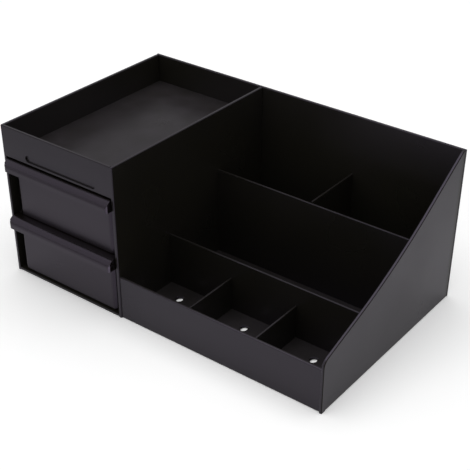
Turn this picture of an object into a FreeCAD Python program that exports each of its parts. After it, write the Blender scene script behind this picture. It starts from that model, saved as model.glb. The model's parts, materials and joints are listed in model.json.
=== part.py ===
import FreeCAD, Part
import math
import os

# Perfume organizer: two drawers under a shallow tray on the left, and three rows of
# bottle compartments between dividers that step up towards the back on the right.
# Sizes are in millimetres. X runs left to right, Y front to back and Z up.
# The origin is the middle of the whole object's footprint, on the surface it stands on.

# Cabinet
WIDTH = 290.0
DEPTH = 176.5
HEIGHT = 126.0
PANEL_THICKNESS = 2.3
BACK_THICKNESS = 2.3
FLOOR_THICKNESS = 1.8
FOOT_HEIGHT = 0.7
FOOT_LENGTH = 4.5
BAY_WIDTH = 106.4
PANEL_CORNER_RADIUS = 1.2
EDGE_ROUNDING = 0.7

# Tray above the drawers
TRAY_DEPTH = 23.4
TRAY_FLOOR_THICKNESS = 1.6
TRAY_FRONT_THICKNESS = 2.3
TRAY_FRONT_DROP = 0.2
GROOVE_LENGTH = 70.0
GROOVE_FROM_LEFT = 21.3
GROOVE_HEIGHT = 5.6
GROOVE_DEPTH = 1.2
GROOVE_ABOVE_FRONT_BOTTOM = 4.8

# Sloping right side
FRONT_EDGE_HEIGHT = 42.8
BEND_FROM_FRONT = 85.4
BEND_HEIGHT = 71.6
BEND_RADIUS = 420.0
FRONT_CORNER_RADIUS = 7.0
TOP_LAND = 2.6
SLOPE_TOP_RADIUS = 3.0

# Bottle compartments
FENCE_THICKNESS = 2.3
FENCE_SETBACK = 0.8
FENCE_HEIGHT = 35.2
DIVIDER_THICKNESS = 1.8
DIVIDER_ROUNDING = 0.5
FRONT_ROW_DEPTH = 54.1
MIDDLE_ROW_DEPTH = 57.6
FRONT_DIVIDER_HEIGHT = 43.6
REAR_DIVIDER_HEIGHT = 73.9
FRONT_CROSS_HEIGHT = 27.5
REAR_CROSS_HEIGHT = 74.8
FRONT_LEFT_CELL_WIDTH = 57.9
FRONT_MIDDLE_CELL_WIDTH = 56.7
REAR_LEFT_CELL_WIDTH = 86.2
FRONT_CELL_COUNT = 3
HOLE_DIAMETER = 7.4
HOLE_SPACING = 61.8
FIRST_HOLE_FROM_MIDDLE_PANEL = 20.5
HOLE_FROM_FRONT_DIVIDER = 14.4

# Drawers
DRAWER_WALL = 2.2
DRAWER_BOTTOM_THICKNESS = 2.0
DRAWER_CORNER_RADIUS = 5.0
DRAWER_ROUNDING = 0.5
SHELF_THICKNESS = 1.6
UPPER_FACE_SETBACK = 3.5
LOWER_DRAWER_OPEN = 1.8
LIP_REACH = 8.0
LIP_HEIGHT = 9.2
LIP_WALL = 2.0
LIP_ROLL_RADIUS = 6.3
LIP_CORNER_RADIUS = 1.8
LIP_LINE_BELOW_TOP = 2.9
LIP_LINE_HEIGHT = 0.8
LIP_LINE_DEPTH = 0.3

# Clearances
SLIDE_GAP = 0.4
LOWER_DRAWER_GAP = 0.9
DRAWER_SIDE_GAP = 3.0
LIP_END_GAP = 1.0
LIP_TOP_GAP = 1.4
CLOSING_GAP = 0.4
SHELF_FRONT_GAP = 0.6

# Places that follow from the sizes above
panel_depth = DEPTH - BACK_THICKNESS
bay_left = PANEL_THICKNESS
bay_right = bay_left + BAY_WIDTH
cells_left = bay_right + PANEL_THICKNESS
cells_right = WIDTH - PANEL_THICKNESS
floor_top = FOOT_HEIGHT + FLOOR_THICKNESS
tray_floor_top = HEIGHT - TRAY_DEPTH
tray_floor_under = tray_floor_top - TRAY_FLOOR_THICKNESS
tray_front_bottom = tray_floor_under - TRAY_FRONT_DROP
fence_back = FENCE_SETBACK + FENCE_THICKNESS
front_divider_y = fence_back + FRONT_ROW_DEPTH
rear_divider_y = front_divider_y + DIVIDER_THICKNESS + MIDDLE_ROW_DEPTH
rear_row_y = rear_divider_y + DIVIDER_THICKNESS
left_cross_x = cells_left + FRONT_LEFT_CELL_WIDTH
right_cross_x = left_cross_x + DIVIDER_THICKNESS + FRONT_MIDDLE_CELL_WIDTH
rear_cross_x = cells_left + REAR_LEFT_CELL_WIDTH
lower_bottom = floor_top + LOWER_DRAWER_GAP
drawer_height = (tray_front_bottom - LIP_TOP_GAP - lower_bottom - SLIDE_GAP) / 2
drawer_length = panel_depth - CLOSING_GAP - UPPER_FACE_SETBACK
lip_thickness = SHELF_THICKNESS + SLIDE_GAP
shelf_top = lower_bottom + drawer_height
upper_bottom = shelf_top + SLIDE_GAP
shelf_front = UPPER_FACE_SETBACK + DRAWER_WALL + SHELF_FRONT_GAP
lower_face_y = UPPER_FACE_SETBACK - LOWER_DRAWER_OPEN
footprint_front = min(0.0, lower_face_y - LIP_REACH)
to_origin = FreeCAD.Vector(-WIDTH / 2, -(footprint_front + DEPTH) / 2, 0)

SAME_PLACE = 0.01


def block(x, y, z):
    """Box between a low and a high limit on each axis."""
    solid = Part.makeBox(x[1] - x[0], y[1] - y[0], z[1] - z[0])
    solid.translate(FreeCAD.Vector(x[0], y[0], z[0]))
    return solid


def corner_arc(before, corner, after, radius):
    """Start, middle and end of the arc that rounds one corner of an outline."""
    to_before = (before - corner).normalize()
    to_after = (after - corner).normalize()
    half_angle = to_before.getAngle(to_after) / 2
    reach = radius / math.tan(half_angle)
    middle_reach = radius / math.sin(half_angle) - radius
    inward = (to_before + to_after).normalize()
    return corner + to_before * reach, corner + inward * middle_reach, corner + to_after * reach


def rounded_face(corners):
    """Flat face with the given (point, radius) corners. A radius of 0 stays sharp."""
    count = len(corners)
    turns = []
    for index, (corner, radius) in enumerate(corners):
        before = corners[index - 1][0]
        after = corners[(index + 1) % count][0]
        if radius > 0:
            turns.append(corner_arc(before, corner, after, radius))
        else:
            turns.append((corner, None, corner))
    edges = []
    for index, (start, middle, end) in enumerate(turns):
        if middle is not None:
            edges.append(Part.Arc(start, middle, end).toShape())
        next_start = turns[(index + 1) % count][0]
        if end.distanceToPoint(next_start) > SAME_PLACE:
            edges.append(Part.LineSegment(end, next_start).toShape())
    return Part.Face(Part.Wire(edges))


def upright_plate(left, thickness, corners):
    """Plate of the given (y, z, radius) outline that stands along Y, from left in +X."""
    points = [(FreeCAD.Vector(left, y, z), radius) for y, z, radius in corners]
    return rounded_face(points).extrude(FreeCAD.Vector(thickness, 0, 0))


def flat_plate(bottom, thickness, corners):
    """Plate of the given (x, y, radius) outline that lies flat, from bottom in +Z."""
    points = [(FreeCAD.Vector(x, y, bottom), radius) for x, y, radius in corners]
    return rounded_face(points).extrude(FreeCAD.Vector(0, 0, thickness))


def lies_at(edge, axis, value):
    """True where the whole edge lies at one value of x, y or z."""
    low = getattr(edge.BoundBox, axis + "Min")
    high = getattr(edge.BoundBox, axis + "Max")
    return abs(low - value) < SAME_PLACE and abs(high - value) < SAME_PLACE


def soften(solid, radius, chosen):
    """Round the solid's chosen edges."""
    return solid.makeFillet(radius, [edge for edge in solid.Edges if chosen(edge)])


def soften_top(solid, radius):
    """Round the edges around a plate's upper end, along its length only."""
    top = solid.BoundBox.ZMax
    along_x = solid.BoundBox.XLength > solid.BoundBox.YLength
    length_axis = "X" if along_x else "Y"

    def chosen(edge):
        return lies_at(edge, "Z", top) and getattr(edge.BoundBox, length_axis + "Length") > SAME_PLACE

    return soften(solid, radius, chosen)


def side_panel(left, upper_corners, flush_x=None):
    """Panel on a short front foot. upper_corners run from its front edge over to its back.
    The front edge at flush_x stays sharp, so that the tray front meets it without a seam."""
    corners = [
        (0.0, 0.0, 0.0),
        *upper_corners,
        (panel_depth, FOOT_HEIGHT, 0.0),
        (FOOT_LENGTH, FOOT_HEIGHT, 0.0),
        (FOOT_LENGTH, 0.0, 0.0),
    ]
    panel = upright_plate(left, PANEL_THICKNESS, corners)

    def chosen(edge):
        on_face = lies_at(edge, "X", left) or lies_at(edge, "X", left + PANEL_THICKNESS)
        across_top = lies_at(edge, "Y", 0) and lies_at(edge, "Z", HEIGHT)
        flush = flush_x is not None and lies_at(edge, "X", flush_x) and lies_at(edge, "Y", 0)
        above_foot = edge.BoundBox.ZMax > FOOT_HEIGHT + SAME_PLACE
        return above_foot and (on_face or across_top) and not flush

    return soften(panel, EDGE_ROUNDING, chosen)


def straight_panel(left, flush_x):
    """Full-height panel with a straight top."""
    upper_corners = [(0.0, HEIGHT, 0.0), (panel_depth, HEIGHT, PANEL_CORNER_RADIUS)]
    return side_panel(left, upper_corners, flush_x)


def right_side_panel():
    """Panel whose top slopes down to the front in two stretches with a gentle bend."""
    upper_corners = [
        (0.0, FRONT_EDGE_HEIGHT, FRONT_CORNER_RADIUS),
        (BEND_FROM_FRONT, BEND_HEIGHT, BEND_RADIUS),
        (panel_depth - TOP_LAND, HEIGHT, SLOPE_TOP_RADIUS),
        (panel_depth, HEIGHT, PANEL_CORNER_RADIUS),
    ]
    return side_panel(cells_right, upper_corners)


def back_panel():
    """Panel behind the three uprights. Its lower edge carries the back of the organizer."""
    panel = block((0, WIDTH), (panel_depth, DEPTH), (0, HEIGHT))

    def chosen(edge):
        on_face = lies_at(edge, "Y", panel_depth) or lies_at(edge, "Y", DEPTH)
        return on_face and edge.BoundBox.ZMax > SAME_PLACE

    return soften(panel, EDGE_ROUNDING, chosen)


def drawer_bay_floor():
    """Floor under the lower drawer, between the left and the middle panel."""
    return block((bay_left, bay_right), (0, panel_depth), (FOOT_HEIGHT, floor_top))


def compartment_floor():
    """Floor of the bottle compartments, with a round hole in each front compartment."""
    floor = block((cells_left, cells_right), (fence_back, panel_depth), (FOOT_HEIGHT, floor_top))
    first_x = cells_left + FIRST_HOLE_FROM_MIDDLE_PANEL
    hole_y = front_divider_y - HOLE_FROM_FRONT_DIVIDER
    for index in range(FRONT_CELL_COUNT):
        foot = FreeCAD.Vector(first_x + index * HOLE_SPACING, hole_y, FOOT_HEIGHT)
        floor = floor.cut(Part.makeCylinder(HOLE_DIAMETER / 2, FLOOR_THICKNESS, foot))
    return floor


def front_fence():
    """Low wall across the front of the bottle compartments."""
    span_y = (FENCE_SETBACK, fence_back)
    span_z = (FOOT_HEIGHT, FOOT_HEIGHT + FENCE_HEIGHT)
    fence = block((cells_left, cells_right), span_y, span_z)
    return soften_top(fence, EDGE_ROUNDING)


def row_divider(front, height):
    """Divider across all the compartments."""
    span_y = (front, front + DIVIDER_THICKNESS)
    divider = block((cells_left, cells_right), span_y, (floor_top, floor_top + height))
    return soften_top(divider, DIVIDER_ROUNDING)


def cross_divider(left, span_y, height):
    """Divider from front to back inside one row."""
    span_x = (left, left + DIVIDER_THICKNESS)
    divider = block(span_x, span_y, (floor_top, floor_top + height))
    return soften_top(divider, DIVIDER_ROUNDING)


def tray_floor():
    """Floor of the tray, which is also the roof over the upper drawer."""
    span_y = (TRAY_FRONT_THICKNESS, panel_depth)
    return block((bay_left, bay_right), span_y, (tray_floor_under, tray_floor_top))


def tray_front():
    """Front wall of the tray, with a shallow groove that has round ends."""
    wall = block((bay_left, bay_right), (0, TRAY_FRONT_THICKNESS), (tray_front_bottom, HEIGHT))

    def chosen(edge):
        runs_across = edge.BoundBox.XLength > SAME_PLACE
        return runs_across and (lies_at(edge, "Z", HEIGHT) or lies_at(edge, "Y", 0))

    wall = soften(wall, EDGE_ROUNDING, chosen)
    end_radius = GROOVE_HEIGHT / 2
    left_x = bay_left + GROOVE_FROM_LEFT + end_radius
    right_x = bay_left + GROOVE_FROM_LEFT + GROOVE_LENGTH - end_radius
    middle_z = tray_front_bottom + GROOVE_ABOVE_FRONT_BOTTOM
    span_z = (middle_z - end_radius, middle_z + end_radius)
    groove = block((left_x, right_x), (0, GROOVE_DEPTH), span_z)
    for x in (left_x, right_x):
        foot = FreeCAD.Vector(x, 0, middle_z)
        round_end = Part.makeCylinder(end_radius, GROOVE_DEPTH, foot, FreeCAD.Vector(0, 1, 0))
        groove = groove.fuse(round_end)
    return wall.cut(groove.removeSplitter())


def drawer_shelf():
    """Shelf that carries the upper drawer. Both drawer fronts pass in front of it."""
    shelf_under = shelf_top - SHELF_THICKNESS
    return block((bay_left, bay_right), (shelf_front, panel_depth), (shelf_under, shelf_top))


def drawer_front(left, right, face_y, bottom, top):
    """Front wall of a drawer, with both ends turned back in a round corner."""
    outer = DRAWER_CORNER_RADIUS
    inner = DRAWER_CORNER_RADIUS - DRAWER_WALL
    end_y = face_y + DRAWER_CORNER_RADIUS
    corners = [
        (left, end_y, 0.0),
        (left, face_y, outer),
        (right, face_y, outer),
        (right, end_y, 0.0),
        (right - DRAWER_WALL, end_y, 0.0),
        (right - DRAWER_WALL, face_y + DRAWER_WALL, inner),
        (left + DRAWER_WALL, face_y + DRAWER_WALL, inner),
        (left + DRAWER_WALL, end_y, 0.0),
    ]
    front = flat_plate(bottom, top - bottom, corners)

    def chosen(edge):
        box = edge.BoundBox
        outside = box.YMin < face_y + SAME_PLACE or box.XMin < left + SAME_PLACE
        outside = outside or box.XMax > right - SAME_PLACE
        runs_back_end = lies_at(edge, "Y", end_y)
        return lies_at(edge, "Z", bottom) and outside and not runs_back_end

    return soften(front, DRAWER_ROUNDING, chosen)


def drawer_side(left, span_y, bottom, top, outer_x):
    """Side wall of a drawer, round along its upper edges and its outer lower edge."""
    wall = block((left, left + DRAWER_WALL), span_y, (bottom, top))

    def chosen(edge):
        runs_back = edge.BoundBox.YLength > SAME_PLACE
        lower_outer = lies_at(edge, "Z", bottom) and lies_at(edge, "X", outer_x)
        return runs_back and (lies_at(edge, "Z", top) or lower_outer)

    return soften(wall, DRAWER_ROUNDING, chosen)


def drawer_rear(left, right, rear_y, bottom, top):
    """Rear wall of a drawer, across both side walls."""
    wall = block((left, right), (rear_y - DRAWER_WALL, rear_y), (bottom, top))

    def chosen(edge):
        runs_across = edge.BoundBox.XLength > SAME_PLACE
        lower_outer = lies_at(edge, "Z", bottom) and lies_at(edge, "Y", rear_y)
        return runs_across and (lies_at(edge, "Z", top) or lower_outer)

    return soften(wall, DRAWER_ROUNDING, chosen)


def drawer_bottom(left, right, face_y, rear_y, bottom):
    """Bottom of a drawer, inside its walls, with corners that fit the front's round ends."""
    inner = DRAWER_CORNER_RADIUS - DRAWER_WALL
    near_y = face_y + DRAWER_WALL
    far_y = rear_y - DRAWER_WALL
    corners = [
        (left + DRAWER_WALL, near_y, inner),
        (right - DRAWER_WALL, near_y, inner),
        (right - DRAWER_WALL, far_y, 0.0),
        (left + DRAWER_WALL, far_y, 0.0),
    ]
    return flat_plate(bottom, DRAWER_BOTTOM_THICKNESS, corners)


def lip_body(face_y, top, inset, back_y, roof):
    """Lip filled solid: a rounded bar, inset from the lip's outer skin and roof thick at its top."""
    left = bay_left + LIP_END_GAP + inset
    right = bay_right - LIP_END_GAP - inset
    front_y = face_y - LIP_REACH + inset
    bottom = top - LIP_HEIGHT
    corner_radius = max(LIP_CORNER_RADIUS - inset, 0.0)
    plan_corners = [
        (left, front_y, corner_radius),
        (right, front_y, corner_radius),
        (right, back_y, 0.0),
        (left, back_y, 0.0),
    ]
    side_corners = [
        (front_y, bottom, 0.0),
        (back_y, bottom, 0.0),
        (back_y, top - roof, 0.0),
        (front_y, top - roof, LIP_ROLL_RADIUS - inset),
    ]
    plan = flat_plate(bottom, LIP_HEIGHT, plan_corners)
    return plan.common(upright_plate(left, right - left, side_corners))


def drawer_handle(face_y, top):
    """Lip that caps the front wall, rolls over its face and hangs down as a finger grip."""
    wall_inside_y = face_y + DRAWER_WALL
    wall_top = top - lip_thickness
    lip = lip_body(face_y, top, 0.0, wall_inside_y, 0.0)
    hollow = lip_body(face_y, top, LIP_WALL, face_y, lip_thickness)
    behind = block((bay_left, bay_right), (face_y, wall_inside_y), (top - LIP_HEIGHT, wall_top))
    lip = lip.cut(hollow).cut(behind)
    line_top = top - LIP_LINE_BELOW_TOP
    span_z = (line_top - LIP_LINE_HEIGHT, line_top)
    band = block((bay_left, bay_right), (face_y - LIP_REACH, face_y), span_z)
    line = band.cut(lip_body(face_y, top, LIP_LINE_DEPTH, face_y, 0.0))
    return lip.cut(line)


def drawer(name, face_y, bottom):
    """All pieces of one drawer, by node name."""
    left = bay_left + DRAWER_SIDE_GAP
    right = bay_right - DRAWER_SIDE_GAP
    rear_y = face_y + drawer_length
    top = bottom + drawer_height
    wall_top = top - lip_thickness
    side_span = (face_y + DRAWER_CORNER_RADIUS, rear_y - DRAWER_WALL)
    return {
        name + "_front": drawer_front(left, right, face_y, bottom, wall_top),
        name + "_left_side": drawer_side(left, side_span, bottom, wall_top, left),
        name + "_right_side": drawer_side(right - DRAWER_WALL, side_span, bottom, wall_top, right),
        name + "_rear": drawer_rear(left, right, rear_y, bottom, wall_top),
        name + "_bottom": drawer_bottom(left, right, face_y, rear_y, bottom),
        name + "_handle": drawer_handle(face_y, top),
    }


front_row = (fence_back, front_divider_y)
rear_row = (rear_row_y, panel_depth)
pieces = {
    "left_side_panel": straight_panel(0.0, bay_left),
    "middle_panel": straight_panel(bay_right, bay_right),
    "right_side_panel": right_side_panel(),
    "back_panel": back_panel(),
    "drawer_bay_floor": drawer_bay_floor(),
    "compartment_floor": compartment_floor(),
    "front_fence": front_fence(),
    "tray_floor": tray_floor(),
    "tray_front": tray_front(),
    "drawer_shelf": drawer_shelf(),
    "front_row_divider": row_divider(front_divider_y, FRONT_DIVIDER_HEIGHT),
    "rear_row_divider": row_divider(rear_divider_y, REAR_DIVIDER_HEIGHT),
    "rear_cross_divider": cross_divider(rear_cross_x, rear_row, REAR_CROSS_HEIGHT),
    "front_cross_divider_left": cross_divider(left_cross_x, front_row, FRONT_CROSS_HEIGHT),
    "front_cross_divider_right": cross_divider(right_cross_x, front_row, FRONT_CROSS_HEIGHT),
}
pieces.update(drawer("upper_drawer", UPPER_FACE_SETBACK, upper_bottom))
pieces.update(drawer("lower_drawer", lower_face_y, lower_bottom))

os.makedirs("parts", exist_ok=True)
for node, solid in pieces.items():
    solid.translate(to_origin)
    solid.exportStep("parts/" + node + ".step")
    print(node, "valid", solid.isValid(), "solids", len(solid.Solids), "volume", round(solid.Volume, 1))
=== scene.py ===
import json
import math

import bpy
from mathutils import Euler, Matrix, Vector

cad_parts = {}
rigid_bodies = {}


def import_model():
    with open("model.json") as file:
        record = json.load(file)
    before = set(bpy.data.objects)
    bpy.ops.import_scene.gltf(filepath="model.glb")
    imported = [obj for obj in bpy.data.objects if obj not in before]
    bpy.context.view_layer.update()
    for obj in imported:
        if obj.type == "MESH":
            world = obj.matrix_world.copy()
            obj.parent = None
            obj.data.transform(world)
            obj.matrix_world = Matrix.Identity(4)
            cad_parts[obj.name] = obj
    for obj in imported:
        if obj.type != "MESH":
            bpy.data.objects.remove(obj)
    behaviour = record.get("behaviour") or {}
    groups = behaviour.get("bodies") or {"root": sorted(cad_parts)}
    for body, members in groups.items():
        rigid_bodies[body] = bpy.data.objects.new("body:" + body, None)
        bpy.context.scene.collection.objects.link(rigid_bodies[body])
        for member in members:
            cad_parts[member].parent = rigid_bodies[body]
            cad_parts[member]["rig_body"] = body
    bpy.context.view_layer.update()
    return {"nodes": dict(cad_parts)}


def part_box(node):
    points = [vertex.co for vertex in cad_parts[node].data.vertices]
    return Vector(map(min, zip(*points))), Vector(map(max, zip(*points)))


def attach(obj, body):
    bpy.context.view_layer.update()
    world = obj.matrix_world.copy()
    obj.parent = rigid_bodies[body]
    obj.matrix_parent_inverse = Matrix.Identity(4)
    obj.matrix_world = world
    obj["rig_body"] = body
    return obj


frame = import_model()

# Camera: where the photograph was taken from, in metres, degrees and pixels
CAMERA_PLACE = Vector((0.42640, -0.54683, 0.46636))
CAMERA_AZIMUTH = math.radians(36.108)
CAMERA_ELEVATION = math.radians(33.620)
CAMERA_ROLL = math.radians(0.92)
SENSOR_WIDTH = 36.0
PHOTO_SIDE = 470
FOCAL_LENGTH_PIXELS = 1063.95
PRINCIPAL_POINT = (256.15, 278.02)

# World: its strength runs from dim to bright towards one side
WHITE = 1.0
WORLD_STRENGTH = (0.42, 0.68)
BRIGHT_SIDE = (-0.45, -0.80, 0.40)
BRIGHT_RANGE = (0.1, 0.8)

# Lamp above the object
SOFTBOX_SIDE = 2.4
SOFTBOX_HEIGHT = 2.0
SOFTBOX_POWER = 21.6

# Floor: its colour, which darkens with distance as painted shade for the lamp's falloff, and the light
# the camera sees added, each over a range of distance
FLOOR_SIDE = 30.0
FLOOR_COLOUR_AND_PAINTED_FALLOFF = (0.88, 0.52)
PAINTED_FALLOFF_RANGE = (0.18, 0.50)
FLOOR_LIFT = (0.17, 0.50)
FLOOR_LIFT_RANGE = (1.0, 6.0)

# Moulded plastic: base colours, tints of the reflection, gloss
PLASTIC_IOR = 1.5
CABINET_COLOUR = (0.0115, 0.0106, 0.0076)
# painted shade: the dividers carry the cabinet colour darkened, as they stand in the shade of the
# compartments
SHADED_DIVIDER_COLOUR = (0.0098, 0.0090, 0.0064)
DRAWER_COLOUR = (0.0036, 0.0028, 0.0014)
CABINET_TINT = (0.79, 0.68, 1.0)
DRAWER_TINT = (0.86, 0.72, 1.0)
CABINET_GLOSS = 0.52
BACK_GLOSS = 0.42
BAY_FLOOR_GLOSS = 0.34
TRAY_GLOSS = 0.30
DRAWER_GLOSS = 0.62
HANDLE_GLOSS = 0.67
ROUGHNESS = (0.26, 0.34)

# Noise over the surface: scale and detail, the part of its values that is used, and its effect
TONE_NOISE = (11.0, 4.0)
ROUGHNESS_NOISE = (14.0, 3.0)
DUST_AND_TOP_LIGHT_NOISE = (60.0, 5.0)
WEAR_AND_SHEEN_NOISE = (90.0, 3.0)
NOISE_RANGE = (0.3, 0.7)
TONE_CHANGE = (0.85, 1.15)
DUST_AND_TOP_LIGHT_CHANGE = (0.6, 1.4)
WEAR_AND_SHEEN_CHANGE = (0.5, 1.5)

# Fine grain, as bump
GRAIN_SCALE = 1800.0
GRAIN_DETAIL = 2.0
GRAIN_STRENGTH = 0.25
GRAIN_DEPTH = 0.00004

# Dust and painted top light: a pale colour laid on faces that look up, which stands in for light from
# above as well as dust; its colour, how far up a face has to look to carry it, and how much there is
DUST_AND_TOP_LIGHT_COLOUR = (0.0300, 0.0265, 0.0285)
UP_RANGE = (0.3, 0.95)
PANEL_DUST_AND_TOP_LIGHT = 0.35
FLOOR_DUST_AND_TOP_LIGHT = 0.50
TRAY_DUST_AND_TOP_LIGHT = 0.60
DRAWER_DUST_AND_TOP_LIGHT = 0.05
NO_DUST_OR_TOP_LIGHT = 0.0

# Edges: largest part of the normal, from flat to round, and the painted highlight and shade there: the
# reflection made stronger or weaker by the side the edge faces
EDGE_RANGE = (0.985, 0.93)
EDGE_POLISH = 0.06
DIVIDER_EDGE_SHADE = -0.44
RIGHT_EDGE_SHEEN_SIDE = (-1.50, 0.0, 0.0)
FRONT_EDGE_SHEEN_SIDE = (0.0, 0.50, 0.0)
HANDLE_EDGE_SHEEN_SIDE = (1.60, 0.0, 0.0)
NO_SIDE = (0.0, 0.0, 0.0)

# Painted shade: dark line along the right panel's rear edge, where the reflection is weakened; how far
# before the rear it starts and is full, and its gloss
REAR_SHADE_LINE_REACH = (0.0051, 0.0011)
REAR_SHADE_LINE_CHANGE = (1.0, 0.05)

# Round holes of the compartment floor, from the middle panel and the front row divider
HOLE_COUNT = 3
HOLE_FROM_PANEL = 0.0205
HOLE_SPACING = 0.0618
HOLE_FROM_DIVIDER = 0.0144

# Dark rings in these holes, painted shade for the shadow seen through them, with heights above the
# floor's underside
SHADE_RING_SIDES = 48
SHADE_RING_RADIUS = 0.00368
SHADE_RING_BOTTOM = 0.00005
SHADE_RING_TOP = 0.00030
SLOT_SHIFT = (-0.0008, 0.0008)
SLOT_HALF_LENGTH = 0.00280
SLOT_HALF_WIDTH = 0.00190
SLOT_ANGLE = math.radians(66)


def feed(tree, socket, value):
    """Give a node's input a value: a number, a vector, a colour or another node's output."""
    if isinstance(value, bpy.types.NodeSocket):
        tree.links.new(value, socket)
    else:
        socket.default_value = value


def node(tree, kind, inputs=(), **settings):
    """New shader node with its settings and its inputs, as pairs of name or number and value."""
    made = tree.nodes.new(kind)
    for key, value in settings.items():
        setattr(made, key, value)
    for key, value in inputs:
        feed(tree, made.inputs[key], value)
    return made


def calculate(tree, operation, first, second=0.0, clamp=False):
    """Result of a maths node."""
    made = node(tree, "ShaderNodeMath", enumerate((first, second)), operation=operation, use_clamp=clamp)
    return made.outputs["Value"]


def measure(tree, operation, first, second=NO_SIDE):
    """Single number that a vector maths node works out."""
    made = node(tree, "ShaderNodeVectorMath", enumerate((first, second)), operation=operation)
    return made.outputs["Value"]


def stretch(tree, value, old_range, new_range=(0.0, 1.0), interpolation="LINEAR"):
    """Value carried over from the old range to the new one, and kept inside it."""
    inputs = [
        ("Value", value),
        ("From Min", old_range[0]),
        ("From Max", old_range[1]),
        ("To Min", new_range[0]),
        ("To Max", new_range[1]),
    ]
    made = node(tree, "ShaderNodeMapRange", inputs, interpolation_type=interpolation)
    return made.outputs["Result"]


def mix(tree, data_type, first, second, factor):
    """Mix of two numbers or two colours."""
    inputs = [("A", first), ("B", second), ("Factor", factor)]
    made = node(tree, "ShaderNodeMix", inputs, data_type=data_type)
    return made.outputs["Result"]


def noise(tree, place, scale_and_detail, new_range=(0.0, 1.0)):
    """Noise in object space, stretched to fill a range."""
    scale, detail = scale_and_detail
    inputs = [("Vector", place), ("Scale", scale), ("Detail", detail)]
    made = node(tree, "ShaderNodeTexNoise", inputs)
    return stretch(tree, made.outputs["Fac"], NOISE_RANGE, new_range)


def parts_of(tree, vector):
    """Outputs X, Y and Z of a node that splits a vector."""
    return node(tree, "ShaderNodeSeparateXYZ", [("Vector", vector)]).outputs


def new_material(name):
    """Node material, with its tree and its Principled shader."""
    material = bpy.data.materials.new(name)
    material.use_nodes = True
    tree = material.node_tree
    return material, tree, tree.nodes["Principled BSDF"]


def rounded_edges(tree, normal):
    """Mask that grows to 1 where the surface looks along no axis, as on a rounded edge."""
    parts = parts_of(tree, normal)
    largest = 0.0
    for axis in "XYZ":
        largest = calculate(tree, "MAXIMUM", largest, calculate(tree, "ABSOLUTE", parts[axis]))
    return stretch(tree, largest, EDGE_RANGE)


def add_dust_and_top_light(tree, colour, place, normal, dust_and_top_light):
    """Colour with uneven dust and painted top light on the faces that look up."""
    up = stretch(tree, parts_of(tree, normal)["Z"], UP_RANGE)
    amount = noise(tree, place, DUST_AND_TOP_LIGHT_NOISE, [change * dust_and_top_light for change in DUST_AND_TOP_LIGHT_CHANGE])
    cover = calculate(tree, "MULTIPLY", up, amount, clamp=True)
    return mix(tree, "RGBA", colour, (*DUST_AND_TOP_LIGHT_COLOUR, 1.0), cover)


def satin_plastic(name, colour=CABINET_COLOUR, tint=CABINET_TINT, gloss=CABINET_GLOSS, dust_and_top_light=PANEL_DUST_AND_TOP_LIGHT,
                  painted_edge_sheen=0.0, sheen_side=NO_SIDE, shade_line_range=None):
    """Satin moulded plastic: grain, slow changes of tone and gloss, worn edges with painted highlight
    and shade by the side they face, dust with painted top light on faces that look up.
    """
    material, tree, shader = new_material(name)
    shader.inputs["IOR"].default_value = PLASTIC_IOR
    shader.inputs["Specular IOR Level"].default_value = gloss
    shader.inputs["Specular Tint"].default_value = (*tint, 1.0)
    place = node(tree, "ShaderNodeTexCoord").outputs["Object"]
    normal = node(tree, "ShaderNodeNewGeometry").outputs["Normal"]

    dark, pale = [(*(change * part for part in colour), 1.0) for change in TONE_CHANGE]
    tone = mix(tree, "RGBA", dark, pale, noise(tree, place, TONE_NOISE))
    # painted light: faces that look up are lightened by the dust colour, as if lit from above
    feed(tree, shader.inputs["Base Color"], add_dust_and_top_light(tree, tone, place, normal, dust_and_top_light))

    edges = rounded_edges(tree, normal)
    # wear on rounded edges, which also carries the painted edge highlight and shade below
    wear_and_sheen = calculate(tree, "MULTIPLY", edges, noise(tree, place, WEAR_AND_SHEEN_NOISE, WEAR_AND_SHEEN_CHANGE))
    rough = noise(tree, place, ROUGHNESS_NOISE, ROUGHNESS)
    polish = calculate(tree, "MULTIPLY", wear_and_sheen, EDGE_POLISH)
    feed(tree, shader.inputs["Roughness"], calculate(tree, "SUBTRACT", rough, polish))

    # painted highlight and shade: the reflection's tint is scaled up or down on rounded edges by the
    # side they face
    if painted_edge_sheen or sheen_side != NO_SIDE:
        looks = measure(tree, "DOT_PRODUCT", normal, sheen_side)
        change = calculate(tree, "MULTIPLY", wear_and_sheen, calculate(tree, "ADD", looks, painted_edge_sheen))
        shine = calculate(tree, "MAXIMUM", calculate(tree, "ADD", change, 1.0), 0.0)
        # painted shade: the reflection fades out in a dark line along the panel's rear edge
        if shade_line_range:
            shade_line = stretch(tree, parts_of(tree, place)["Y"], shade_line_range, REAR_SHADE_LINE_CHANGE)
            shine = calculate(tree, "MULTIPLY", shine, shade_line)
        shaded = node(tree, "ShaderNodeVectorMath", [(0, tint), ("Scale", shine)], operation="SCALE")
        feed(tree, shader.inputs["Specular Tint"], shaded.outputs["Vector"])

    inputs = [("Vector", place), ("Scale", GRAIN_SCALE), ("Detail", GRAIN_DETAIL)]
    grain = node(tree, "ShaderNodeTexNoise", inputs).outputs["Fac"]
    inputs = [("Strength", GRAIN_STRENGTH), ("Distance", GRAIN_DEPTH), ("Height", grain)]
    feed(tree, shader.inputs["Normal"], node(tree, "ShaderNodeBump", inputs).outputs["Normal"])
    return material


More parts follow.
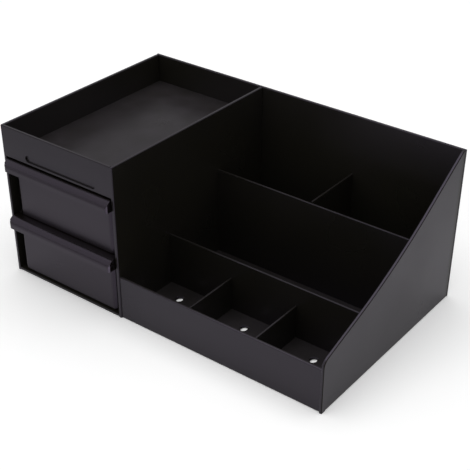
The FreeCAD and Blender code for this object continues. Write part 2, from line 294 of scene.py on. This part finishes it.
def floor_material():
    """Pale floor, white for the camera and with the object's shadow on it; for other rays its colour
    darkens with distance, painted shade for the lamp's falloff.
    """
    material, tree, shader = new_material("pale_floor")
    tree.nodes.remove(shader)
    place = node(tree, "ShaderNodeTexCoord").outputs["Object"]
    camera_ray = node(tree, "ShaderNodeLightPath").outputs["Is Camera Ray"]
    away = measure(tree, "LENGTH", place)
    # painted shade: the floor's colour darkens away from the object, for other rays than the camera's
    painted_falloff = stretch(tree, away, PAINTED_FALLOFF_RANGE, FLOOR_COLOUR_AND_PAINTED_FALLOFF)
    colour = mix(tree, "FLOAT", painted_falloff, WHITE, camera_ray)
    matte = node(tree, "ShaderNodeBsdfDiffuse", [("Color", colour)])
    lift = calculate(tree, "MULTIPLY", camera_ray, stretch(tree, away, FLOOR_LIFT_RANGE, FLOOR_LIFT))
    glow = node(tree, "ShaderNodeEmission", [("Strength", lift)])
    both = node(tree, "ShaderNodeAddShader", [(0, matte.outputs["BSDF"]), (1, glow.outputs["Emission"])])
    feed(tree, tree.nodes["Material Output"].inputs["Surface"], both.outputs["Shader"])
    return material


def new_object(name, points, faces, material):
    """Object in the scene, with a mesh of its own and one material."""
    mesh = bpy.data.meshes.new(name)
    mesh.from_pydata(points, [], faces)
    mesh.materials.append(material)
    made = bpy.data.objects.new(name, mesh)
    bpy.context.scene.collection.objects.link(made)
    return made


def make_floor():
    """Large plain floor at the height of the object's feet."""
    half = FLOOR_SIDE / 2
    corners = [(-half, -half, 0.0), (half, -half, 0.0), (half, half, 0.0), (-half, half, 0.0)]
    floor = new_object("floor", corners, [(0, 1, 2, 3)], floor_material())


def hole_centre(index):
    """Middle of a round hole, worked out from the panel beside them and the divider behind them."""
    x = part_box("middle_panel")[1][0] + HOLE_FROM_PANEL + index * HOLE_SPACING
    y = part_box("front_row_divider")[0][1] - HOLE_FROM_DIVIDER
    return x, y


def make_shade_ring(name, centre, plastic):
    """Thin dark ring inside a round hole of the floor, painted shade for the shadow seen through it,
    which leaves a slanting oval open.
    """
    outer = []
    inner = []
    for index in range(SHADE_RING_SIDES):
        turn = 2 * math.pi * index / SHADE_RING_SIDES
        outer.append((centre[0] + SHADE_RING_RADIUS * math.cos(turn), centre[1] + SHADE_RING_RADIUS * math.sin(turn)))
        along = SLOT_HALF_LENGTH * math.cos(turn - SLOT_ANGLE)
        across = SLOT_HALF_WIDTH * math.sin(turn - SLOT_ANGLE)
        x = along * math.cos(SLOT_ANGLE) - across * math.sin(SLOT_ANGLE)
        y = along * math.sin(SLOT_ANGLE) + across * math.cos(SLOT_ANGLE)
        inner.append((centre[0] + SLOT_SHIFT[0] + x, centre[1] + SLOT_SHIFT[1] + y))

    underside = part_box("compartment_floor")[0][2]
    bottom = underside + SHADE_RING_BOTTOM
    top = underside + SHADE_RING_TOP
    rings = [(outer, top), (inner, top), (inner, bottom), (outer, bottom)]
    points = [(x, y, z) for ring, z in rings for x, y in ring]
    faces = []
    for ring in range(len(rings)):
        here = ring * SHADE_RING_SIDES
        there = (ring + 1) % len(rings) * SHADE_RING_SIDES
        for index in range(SHADE_RING_SIDES):
            after = (index + 1) % SHADE_RING_SIDES
            faces.append((here + index, here + after, there + after, there + index))
    shade_ring = new_object(name, points, faces, plastic)
    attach(shade_ring, "cabinet")


def make_world():
    """Soft light from all round, brighter from the front left, white for the camera."""
    world = bpy.data.worlds.new("studio")
    bpy.context.scene.world = world
    world.use_nodes = True
    tree = world.node_tree
    background = tree.nodes["Background"]
    background.inputs["Color"].default_value = (WHITE, WHITE, WHITE, 1.0)
    direction = node(tree, "ShaderNodeTexCoord").outputs["Generated"]
    camera_ray = node(tree, "ShaderNodeLightPath").outputs["Is Camera Ray"]
    side = measure(tree, "DOT_PRODUCT", direction, BRIGHT_SIDE)
    bright = stretch(tree, side, BRIGHT_RANGE, WORLD_STRENGTH, "SMOOTHSTEP")
    feed(tree, background.inputs["Strength"], mix(tree, "FLOAT", bright, WHITE, camera_ray))


def make_softbox():
    """Large soft lamp straight above the object."""
    data = bpy.data.lights.new("softbox", "AREA")
    data.shape = "SQUARE"
    data.size = SOFTBOX_SIDE
    data.energy = SOFTBOX_POWER
    lamp = bpy.data.objects.new("softbox", data)
    lamp.location = (0.0, 0.0, SOFTBOX_HEIGHT)
    bpy.context.scene.collection.objects.link(lamp)


def make_camera():
    """Camera at the photograph's place, with its lens and framing."""
    data = bpy.data.cameras.new("camera")
    data.sensor_width = SENSOR_WIDTH
    data.lens = SENSOR_WIDTH * FOCAL_LENGTH_PIXELS / PHOTO_SIDE
    data.shift_x = (PHOTO_SIDE / 2 - PRINCIPAL_POINT[0]) / PHOTO_SIDE
    data.shift_y = (PRINCIPAL_POINT[1] - PHOTO_SIDE / 2) / PHOTO_SIDE
    camera = bpy.data.objects.new("camera", data)
    camera.location = CAMERA_PLACE
    aim = Euler((math.pi / 2 - CAMERA_ELEVATION, 0.0, CAMERA_AZIMUTH), "XYZ").to_matrix()
    roll = Euler((0.0, 0.0, CAMERA_ROLL), "XYZ").to_matrix()
    camera.rotation_euler = (aim @ roll).to_euler()
    bpy.context.scene.collection.objects.link(camera)
    bpy.context.scene.camera = camera


# Materials that pieces share
panel_plastic = satin_plastic("cabinet_plastic_panel")
floor_plastic = satin_plastic("cabinet_plastic_floor", dust_and_top_light=FLOOR_DUST_AND_TOP_LIGHT)
shaded_divider_plastic = satin_plastic("cabinet_plastic_divider_shaded", colour=SHADED_DIVIDER_COLOUR, dust_and_top_light=NO_DUST_OR_TOP_LIGHT,
                                painted_edge_sheen=DIVIDER_EDGE_SHADE)
drawer_plastic = satin_plastic("drawer_plastic", colour=DRAWER_COLOUR, tint=DRAWER_TINT,
                               gloss=DRAWER_GLOSS, dust_and_top_light=DRAWER_DUST_AND_TOP_LIGHT)
handle_plastic = satin_plastic("drawer_plastic_handle", colour=DRAWER_COLOUR, tint=DRAWER_TINT,
                               gloss=HANDLE_GLOSS, dust_and_top_light=DRAWER_DUST_AND_TOP_LIGHT, sheen_side=HANDLE_EDGE_SHEEN_SIDE)

# Materials of single pieces, by node
panel_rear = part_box("right_side_panel")[1][1]
rear_shade_line = [panel_rear - reach for reach in REAR_SHADE_LINE_REACH]
own_plastic = {
    "right_side_panel": satin_plastic("cabinet_plastic_right", sheen_side=RIGHT_EDGE_SHEEN_SIDE,
                                      shade_line_range=rear_shade_line),
    "tray_front": satin_plastic("cabinet_plastic_tray_front", sheen_side=FRONT_EDGE_SHEEN_SIDE),
    "tray_floor": satin_plastic("cabinet_plastic_tray", gloss=TRAY_GLOSS, dust_and_top_light=TRAY_DUST_AND_TOP_LIGHT),
    "back_panel": satin_plastic("cabinet_plastic_back", gloss=BACK_GLOSS),
    "drawer_bay_floor": satin_plastic("cabinet_plastic_bay_floor", gloss=BAY_FLOOR_GLOSS, dust_and_top_light=NO_DUST_OR_TOP_LIGHT),
}

for name, cad in frame["nodes"].items():
    if name.endswith("handle"):
        plastic = handle_plastic
    elif cad["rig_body"] != "cabinet":
        plastic = drawer_plastic
    elif "divider" in name:
        plastic = shaded_divider_plastic
    elif name.endswith("floor") or name == "drawer_shelf":
        plastic = floor_plastic
    else:
        plastic = panel_plastic
    cad.data.materials.clear()
    cad.data.materials.append(own_plastic.get(name, plastic))

# dark rings of painted shade in the compartment floor's holes
for index in range(HOLE_COUNT):
    make_shade_ring(f"hole_shade_ring_{index + 1}", hole_centre(index), floor_plastic)
make_floor()
make_world()
make_softbox()
make_camera()
bpy.context.scene.view_settings.view_transform = "Standard"
